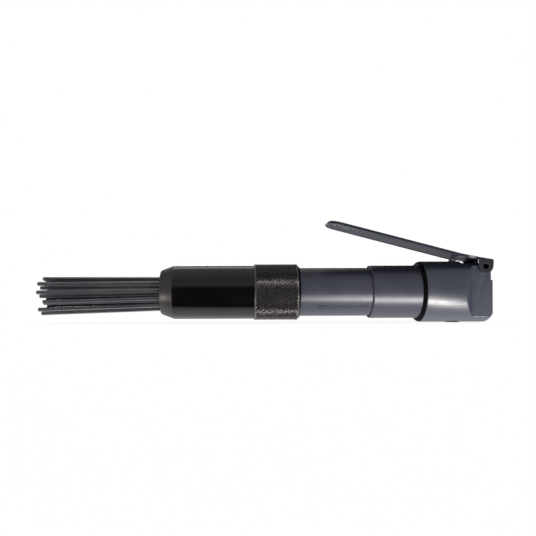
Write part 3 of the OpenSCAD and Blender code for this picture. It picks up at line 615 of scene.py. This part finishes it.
# %% [markdown]
# ## Front tube
# The tube guides the needles and narrows to a nose with a small round lip. It is a plain turned shape, so
# its half section is written from the spigot inside the collar to the nose and back along the bore. The
# oiled black ends where the taper begins, because the nose is knocked about and rubs dull.

# %% Front tube
lathe_steps = 160
nose_from = 237.7
tube_section = [
    (152, 17), (152, 18.25), (176.9, 18.25), (176.9, 20.3), (237.6, 20.3), (246.5, 17), (247.2, 16.7),
    (247.5, 16), (247.5, 14.8), (236, 14.8), (236, 17),
]
tube = finish_piece(
    turned(tube_section, lathe_steps), "front_tube_turned", oiled_black, "black_oxide", "root", "front_tube",
    edge=0.25 * mm)
second_finish(tube, nose_black, nose_from)

# %% [markdown]
# ## Sleeve
# The exhaust sleeve is a thin shell that stands off the barrel at its front, where the spent air leaves. Its
# section shows that gap and the chamfer at its mouth, so it is turned as well.

# %% Sleeve
sleeve_section = [
    (49.5, 18.3), (49.5, 20), (89.1, 20), (89.8, 19.3), (89.8, 19.05), (57, 19.05), (57, 18.3),
]
finish_piece(
    turned(sleeve_section, lathe_steps), "sleeve_turned", turned_gunmetal, "gunmetal", "root", "sleeve",
    edge=0.15 * mm)

# %% [markdown]
# ## Head, barrel and plug
# These have flats, seats and sockets, which the CAD solid already holds exactly. A welded copy of the solid
# keeps every one of them, and softened edges turn it from a drawing into a worked piece of metal. The head's
# front edge round the sleeve is painted near black, a painted shade that draws a dark line between the two.

# %% Head, barrel and plug
# Painted shade: forward of this station the head's front edge is near black, for the shaded gap at the sleeve
head_shade_from = 51.5
head = finish_piece(welded("head"), "head_milled", gunmetal, "gunmetal", "root", "head", edge=0.3 * mm)
second_finish(head, dull_black_and_painted_shade, head_shade_from)
finish_piece(
    welded("barrel"), "barrel_turned", turned_gunmetal, "gunmetal", "root", "barrel", edge=0.12 * mm)
finish_piece(
    welded("valve_plug"), "valve_plug_turned", black_steel, "black_oxide", "root", "valve_plug",
    edge=0.15 * mm)

# %% [markdown]
# ## Knurled collar
# A knurl is two sets of grooves that cross and leave small pyramids for the hand to grip. On a grid of
# half-pitch cells the crossings and the peaks take turns, like the fields of a chessboard. So a spun grid
# has every second point pressed in, the low points are joined along the grooves, and the peaks are cut flat.
# Bump in the material would be cheaper, but it wouldn't break up the collar's outline.

# %% Grid for the knurl
collar_rear, collar_front = 142.9, 176.9
collar_r, bore_r, knurl_depth = 21.25, 18.3, 0.6
rear_chamfer, front_chamfer = 1.8, 0.4
rows, columns = 34, 140
knurl_rear, knurl_front = collar_rear + rear_chamfer, collar_front - front_chamfer

bm = bmesh.new()
ends = [bm.verts.new((-station * mm, 0, collar_r * mm)) for station in (knurl_rear, knurl_front)]
bmesh.ops.subdivide_edges(bm, edges=[bm.edges.new(ends)], cuts=rows - 1)
bmesh.ops.spin(bm, geom=bm.verts[:] + bm.edges[:], cent=origin, axis=tool_axis, angle=math.tau,
               steps=columns, use_merge=True)
bmesh.ops.remove_doubles(bm, verts=bm.verts, dist=weld)
print("knurl cells:", len(bm.faces))

# %% Press in the grooves and cut the peaks flat
peak_flat = 0.15 * mm
cell = (knurl_front - knurl_rear) * mm / rows
grooves, peaks = [], []
for vert in bm.verts:
    row = round((-knurl_rear * mm - vert.co.x) / cell)
    column = round(math.atan2(vert.co.y, vert.co.z) * columns / math.tau)
    if 0 < row < rows:
        (grooves if (row + column) % 2 == 0 else peaks).append(vert)
pressed = 1 - knurl_depth / collar_r
bmesh.ops.scale(bm, verts=grooves, vec=(1, pressed, pressed))
bmesh.ops.connect_verts(bm, verts=grooves)
bmesh.ops.bevel(bm, geom=peaks, offset=peak_flat, affect="VERTICES", segments=1, profile=0.5, material=-1)
print("knurl peaks:", len(peaks))

# %% Find an open rim, and carry it on to another station and radius
rim_slack = 0.01 * mm


def rim_at(bm, station):
    def near(edge):
        return all(abs(vert.co.x + station * mm) < rim_slack for vert in edge.verts)
    return [edge for edge in bm.edges if edge.is_boundary and near(edge)]


def carry_rim(bm, rim, station, radius):
    out = bmesh.ops.extrude_edge_only(bm, edges=rim)["geom"]
    fresh = [item for item in out if isinstance(item, bmesh.types.BMVert)]
    for vert in fresh:
        spoke = Vector((0, vert.co.y, vert.co.z)).normalized() * radius * mm
        vert.co = Vector((-station * mm, spoke.y, spoke.z))
    return [item for item in out if isinstance(item, bmesh.types.BMEdge) and item.is_boundary]


# %% Chamfer the collar's ends and bore it
rear_rim = rim_at(bm, knurl_rear)
rear_rim = carry_rim(bm, rear_rim, collar_rear, collar_r - rear_chamfer)
rear_rim = carry_rim(bm, rear_rim, collar_rear, bore_r)
front_rim = rim_at(bm, knurl_front)
front_rim = carry_rim(bm, front_rim, collar_front, collar_r - front_chamfer)
front_rim = carry_rim(bm, front_rim, collar_front, bore_r)
bmesh.ops.bridge_loops(bm, edges=rear_rim + front_rim)
bmesh.ops.recalc_face_normals(bm, faces=bm.faces)
finish_piece(bm, "collar_knurled", black_knurl, "black_oxide", "root", "collar", smooth=False)

# %% [markdown]
# ## Lever
# The lever is pressed from one sheet: a long grip with folded sides, a flatter hinge plate and two ears that
# straddle the head. It starts as its flat plan. The rim is folded down, the folds are rounded, and only then
# does the sheet get its thickness, inwards. It is drawn along its grip and laid on its slope at the end. A
# box cut to shape would look alike from the side, but from below the real lever is hollow.

# %% Plan of the grip and its folded rim
half_w = 15.2 * mm
grip_len, grip_depth = 106 * mm, 2.3 * mm
fold_gap, tip_r = 3 * mm, 9 * mm
round_steps = 10


def fresh_verts(out):
    return [item for item in out["geom"] if isinstance(item, bmesh.types.BMVert)]


bm = bmesh.new()
plan = ((-fold_gap, -half_w), (-fold_gap, half_w), (-grip_len, half_w), (-grip_len, -half_w))
corners = [bm.verts.new((x, y, 0)) for x, y in plan]
bm.faces.new(corners)
rear_edge = [bm.edges.get(corners[:2])]
bmesh.ops.bevel(bm, geom=corners[2:], offset=tip_r, affect="VERTICES", segments=round_steps, profile=0.5,
                material=-1)
rim = [edge for edge in bm.edges if edge not in rear_edge]
folded = fresh_verts(bmesh.ops.extrude_edge_only(bm, edges=rim))
bmesh.ops.translate(bm, verts=folded, vec=(0, 0, -grip_depth))
print("grip faces:", len(bm.faces))

# %% Slopes of the grip and the hinge plate
grip_slope, plate_slope = math.radians(14.7), math.radians(9.6)
bend = Vector((-18.537, 0, 26.9)) * mm
pivot = Vector((-5.9, 0, 18.4)) * mm
lay = Matrix.Translation(bend) @ Matrix.Rotation(grip_slope, 4, "Y")
unlay = lay.inverted()
print("pivot at", [round(v, 4) for v in pivot])

# %% Hinge plate and ears
ear_r, plate_len = 5.2 * mm, 18.8 * mm
ear_round = 0.999 * ear_r

for x in (bend.x, pivot.x - ear_r, bend.x + plate_len * math.cos(plate_slope)):
    out = bmesh.ops.extrude_edge_only(bm, edges=rear_edge)
    spot = unlay @ Vector((x, 0, bend.z - (x - bend.x) * math.tan(plate_slope)))
    ends = fresh_verts(out)
    for vert in ends:
        vert.co = Vector((spot.x, vert.co.y, spot.z))
    rear_edge = [bm.edges.get(ends)]
last_strip = rear_edge[0].link_faces[0]
ear_lines = [edge for edge in last_strip.edges if edge.is_boundary and edge not in rear_edge]
feet = fresh_verts(bmesh.ops.extrude_edge_only(bm, edges=ear_lines))
for vert in feet:
    laid = lay @ vert.co
    vert.co = unlay @ Vector((min(laid.x, pivot.x + ear_r), laid.y, pivot.z - ear_r))
bmesh.ops.bevel(bm, geom=feet, offset=ear_round, affect="VERTICES", segments=round_steps, profile=0.5,
                material=-1)
print("lever faces:", len(bm.faces))

# %% Round the folds and trim the tip's underside
fold_r, fold_steps, fold_angle = 2.0 * mm, 5, math.radians(60)
tip_depth, tip_rise = 1.95 * mm, 4 * mm

bmesh.ops.recalc_face_normals(bm, faces=bm.faces)
inner = [edge for edge in bm.edges if len(edge.link_faces) == 2]
folds = [edge for edge in inner if edge.calc_face_angle() > fold_angle]
print("folds:", len(folds))
bmesh.ops.bevel(bm, geom=folds, offset=fold_r, affect="EDGES", segments=fold_steps, profile=0.5, material=-1)
bmesh.ops.bisect_plane(
    bm, geom=bm.verts[:] + bm.edges[:] + bm.faces[:], dist=weld, clear_inner=True,
    plane_co=(-grip_len, 0, -tip_depth), plane_no=(grip_depth - tip_depth, 0, tip_rise))

# %% Drill the ears
hole = unlay @ pivot
hole_r, hole_sides = 2.05 * mm, 24
sideways = 0.999

ears = [face for face in bm.faces if abs(face.normal.y) > sideways and face.calc_center_median().x > 0]
print("ears:", len(ears))
for ear in ears:
    facing, rim = ear.normal.copy(), ear.edges[:]
    place = Matrix.Translation((hole.x, ear.verts[0].co.y, hole.z)) @ Matrix.Rotation(math.pi / 2, 4, "X")
    ring = bmesh.ops.create_circle(bm, segments=hole_sides, radius=hole_r, matrix=place)["verts"]
    bmesh.ops.delete(bm, geom=[ear], context="FACES_ONLY")
    ring_edges = list({edge for vert in ring for edge in vert.link_edges})
    bmesh.ops.triangle_fill(bm, edges=rim + ring_edges, use_beauty=True, normal=facing)

# %% Give the sheet its thickness and lay it on its slope
sheet_t = 1.9 * mm
bmesh.ops.recalc_face_normals(bm, faces=bm.faces)
bmesh.ops.solidify(bm, geom=bm.faces[:], thickness=sheet_t)
bmesh.ops.recalc_face_normals(bm, faces=bm.faces)
bmesh.ops.transform(bm, verts=bm.verts, matrix=lay)
finish_piece(bm, "lever_pressed", lever_gunmetal, "gunmetal", "lever", "lever", edge=0.25 * mm)

# %% [markdown]
# ## Pins
# The lever swings on a plain pin, and in front of it stands the ground throttle pin that it presses down.
# Both start from their solids. The pivot pin's ends look like dark holes, as a hollow rivet's do, so each
# end face is inset by the rivet's wall and pushed in.

# %% Pins
pin_wall, pin_hollow = 0.35 * mm, 5 * mm
faces_out = 0.99

bm = welded("lever_pin")
pin_ends = [face for face in bm.faces if abs(face.normal.y) > faces_out]
bmesh.ops.inset_individual(bm, faces=pin_ends, thickness=pin_wall, depth=-pin_hollow)
finish_piece(bm, "lever_pin_turned", dull_black_and_painted_shade, "black_oxide", "root", "lever_pin", edge=0.1 * mm)
# Painted light: the throttle pin takes the paler steel
finish_piece(
    welded("throttle_pin"), "throttle_pin_ground", painted_light_pin_steel, "bright_steel", "throttle_pin", "throttle_pin",
    edge=0.1 * mm)
print("pivot pin ends:", len(pin_ends))

# %% [markdown]
# ## Springs and inlet thread
# A coil spring is a wire's round section that turns about an axis and creeps along it, which is one spin with
# a step of its own. The springs close up as the holder and the throttle pin move, and the thread in the air
# inlet is the same helix with a fine wire. A screw modifier could wind them too, but then the ends stay open.

# %% Wind a wire about the X axis
def wound(coil_r, wire_r, pitch, turns, sides=10, steps=24):
    bm = bmesh.new()
    start = Matrix.Translation((0, 0, coil_r * mm)) @ Matrix.Rotation(math.pi / 2, 4, "X")
    bmesh.ops.create_circle(bm, segments=sides, radius=wire_r * mm, matrix=start)
    creep = (-pitch / steps * mm, 0, 0)
    bmesh.ops.spin(bm, geom=bm.verts[:] + bm.edges[:], cent=origin, axis=tool_axis, dvec=creep,
                   angle=math.tau * turns, steps=steps * turns)
    bmesh.ops.holes_fill(bm, edges=[edge for edge in bm.edges if edge.is_boundary])
    bmesh.ops.recalc_face_normals(bm, faces=bm.faces)
    return bm


# %% Needle spring, which closes towards the nose
needle_coil_rear = 174.4 * mm

needle_coil = wound(coil_r=15.8, wire_r=0.8, pitch=7.5625, turns=8)
bmesh.ops.translate(needle_coil, verts=needle_coil.verts, vec=(-needle_coil_rear, 0, 0))
spring = finish_piece(
    needle_coil, "needle_spring_wound", bright_steel, "bright_steel", "root", "needle_spring")
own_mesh(spring)

# %% Valve spring, stood upright, which closes towards the plug
valve_coil_top = Vector((-25.5, 0, -3.75)) * mm

valve_coil = wound(coil_r=3.3, wire_r=0.45, pitch=1.75, turns=6)
stand = Matrix.Translation(valve_coil_top) @ Matrix.Rotation(-math.pi / 2, 4, "Y")
bmesh.ops.transform(valve_coil, verts=valve_coil.verts, matrix=stand)
spring = finish_piece(
    valve_coil, "valve_spring_wound", bright_steel, "bright_steel", "root", "valve_spring")
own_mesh(spring)

# %% Thread in the air inlet
thread_mouth = 0.8 * mm

thread = wound(coil_r=5.85, wire_r=0.42, pitch=1.337, turns=9, sides=6)
bmesh.ops.translate(thread, verts=thread.verts, vec=(-thread_mouth, 0, 0))
finish_piece(thread, "inlet_thread", turned_gunmetal, "gunmetal", "root")

# %% [markdown]
# ## Needles
# Each needle is a straight length of drawn wire with an upset head, and each lies back and droops by its own
# amount. The CAD node tells where: the middles of its two end faces give the axis, and one turned needle is
# laid along it. Their tips are ground off with a small bevel. Those at the back of the bundle get a darker
# steel, a painted shade, so that the front ones stand out from them.

# %% One turned needle, laid where its node lies
needle_section = [
    (0, 0), (0, 1.9), (0.2, 2.1), (3.6, 2.1), (4, 1.7), (4, 1.5), (179.5, 1.5), (180, 1.15), (180, 0),
]
needle_steps = 20
end_slack = 0.2 * mm


def end_middle(points, pick):
    limit = pick(point.x for point in points)
    near = [point for point in points if abs(point.x - limit) < end_slack]
    return sum(near, Vector()) / len(near)


def laid_needle(node):
    points = [vert.co for vert in frame["nodes"][node].data.vertices]
    rear, tip = end_middle(points, max), end_middle(points, min)
    bm = turned(needle_section, needle_steps)
    turn = Vector((-1, 0, 0)).rotation_difference(tip - rear).to_matrix().to_4x4()
    bmesh.ops.transform(bm, verts=bm.verts, matrix=Matrix.Translation(rear) @ turn)
    return bm


# %% All needles, the rear ones darker as painted shade
rear_shade_from = 0.5 * mm
needle_nodes = sorted(name for name in frame["nodes"] if name.removeprefix("needle_").isdigit())

for node in needle_nodes:
    bm = laid_needle(node)
    depth = sum(vert.co.y for vert in bm.verts) / len(bm.verts)
    # Painted shade: needles that lie behind the axis get the darker steel
    finish = painted_shade_needle_steel if depth > rear_shade_from else needle_steel
    finish_piece(bm, node + "_drawn", finish, "needle_steel", node, node)
print("needles:", len(needle_nodes))

# %% [markdown]
# ## Pieces that stay as the drawing has them
# Piston, anvil, valve chest, strainer and seals sit inside, and their solids are right as they are. Each
# carries the name of its material in the record, so that name picks its finish here.

# %% Finish the nodes that stay
finishes = {
    "gunmetal": gunmetal,
    "black_oxide": oiled_black,
    "needle_steel": needle_steel,
    "bright_steel": bright_steel,
    "bronze": bronze,
    "rubber": rubber,
    "fibre": fibre,
}
for node in frame["nodes"].values():
    node.material_slots[0].material = finishes[node.material_slots[0].material.name]
print("nodes finished:", len(frame["nodes"]))

# %% [markdown]
# ## What each lamp lights
# The two low lamps stand below the table's top, as the light that a real white table throws back would. Light
# linking lets them through the sheet to the tool. The table lamp is linked to the sheet alone, and the sheet
# itself is hidden from mirrors and from dull light, because the studio already gives its glow.

# %% Let the low lamps through the table
tool = bpy.data.collections.new("tool")
for thing in scene.objects:
    if thing.type == "MESH" and thing != floor:
        tool.objects.link(thing)
for lamp in (key, nose):
    lamp.light_linking.receiver_collection = tool
    lamp.light_linking.blocker_collection = tool
sheet_only = bpy.data.collections.new("table_sheet")
sheet_only.objects.link(floor)
table.light_linking.receiver_collection = sheet_only
floor.visible_glossy = False
floor.visible_diffuse = False
